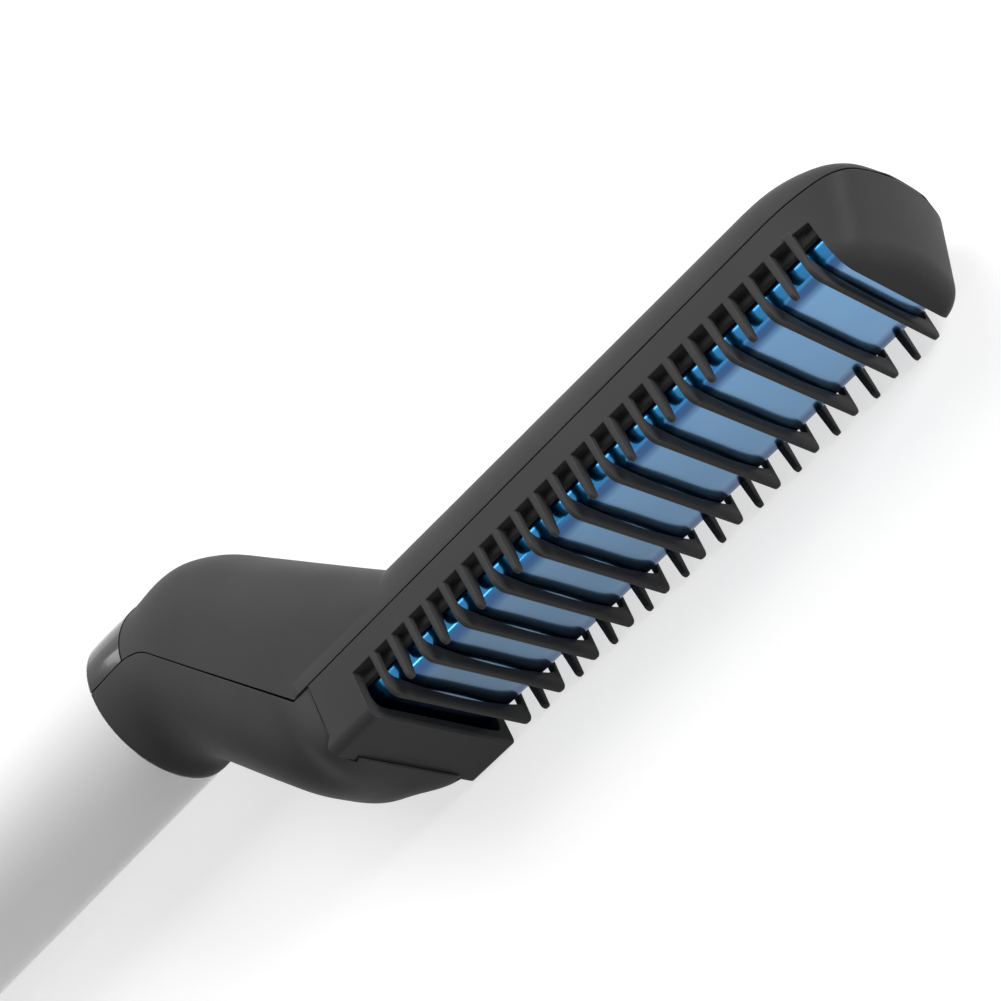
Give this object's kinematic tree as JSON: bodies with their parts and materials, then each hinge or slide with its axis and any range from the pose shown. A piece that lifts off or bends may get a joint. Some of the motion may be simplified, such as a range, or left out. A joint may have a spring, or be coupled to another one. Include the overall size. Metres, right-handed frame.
{
  "type": "hot comb",
  "caption": "Heated styling comb: straight round handle, cranked neck and a long head whose blue heating plate lies behind bridging ribs and short side teeth.",
  "frame": {"origin": "centre of the handle's tail face, on the axis of the cord outlet's swivel", "axes": "+X along the handle's axis towards the head's tip, +Y towards the head's smooth back, so the teeth point to -Y, +Z sideways and up as it lies on its flat side"},
  "size_m": [0.2706, 0.0616, 0.0326],
  "materials": {
    "shell_plastic": "satin black moulded shells and comb",
    "handle_plastic": "polished white tube",
    "gloss_black": "polished black panel",
    "button_plastic": "satin dark button",
    "plate_blue": "blue ceramic coat on aluminium",
    "film_amber": "thin polyimide film",
    "heater_ceramic": "ceramic heater in insulating wrap",
    "spring_steel": "tempered strip",
    "bracket_steel": "zinc-plated sheet",
    "screw_steel": "plated steel",
    "fuse_metal": "bare can",
    "bead_glass": "glass-like bead",
    "board_green": "solder-masked board",
    "component_black": "moulded electronic parts",
    "capacitor_sleeve": "shrunk sleeve",
    "inner_plastic": "unpainted inner moulding",
    "light_clear": "milky light pipe",
    "contact_brass": "slip rings and brushes",
    "wire_red": "silicone-insulated wire"
  },
  "bodies": {
    "housing": {"back_cover": "shell_plastic", "neck_shell": "shell_plastic", "comb_frame": "shell_plastic", "heating_plate": "plate_blue", "insulating_film": "film_amber", "ptc_heater": "heater_ceramic", "pressure_spring": "spring_steel", "heater_bracket": "bracket_steel", "bracket_screws": "screw_steel", "clamp_screws": "screw_steel", "board_screws": "screw_steel", "thermal_fuse": "fuse_metal", "thermistor": "bead_glass", "handle_tube": "handle_plastic", "control_panel": "gloss_black", "key_switch": "component_black", "status_led": "light_clear", "light_pipe": "light_clear", "circuit_board": "board_green", "board_tray": "inner_plastic", "main_capacitor": "capacitor_sleeve", "power_triac": "component_black", "tail_cap": "shell_plastic", "contact_block": "inner_plastic", "contact_brushes": "contact_brass", "heater_leads": "wire_red", "supply_leads": "wire_red"},
    "button": {"power_button": "button_plastic", "switch_plunger": "inner_plastic"},
    "swivel": {"cord_gland": "shell_plastic", "retaining_clip": "spring_steel", "slip_rings": "contact_brass"}
  },
  "joints": [
    {"name": "button_press", "type": "slide", "parent": "housing", "child": "button", "axis": [0, -1, 0], "range_m": [0, 0.0006], "stiffness_N_per_m": 2500},
    {"name": "cord_swivel", "type": "hinge", "parent": "housing", "child": "swivel", "pos_m": [0, 0, 0], "axis": [1, 0, 0], "continuous": true}
  ]
}
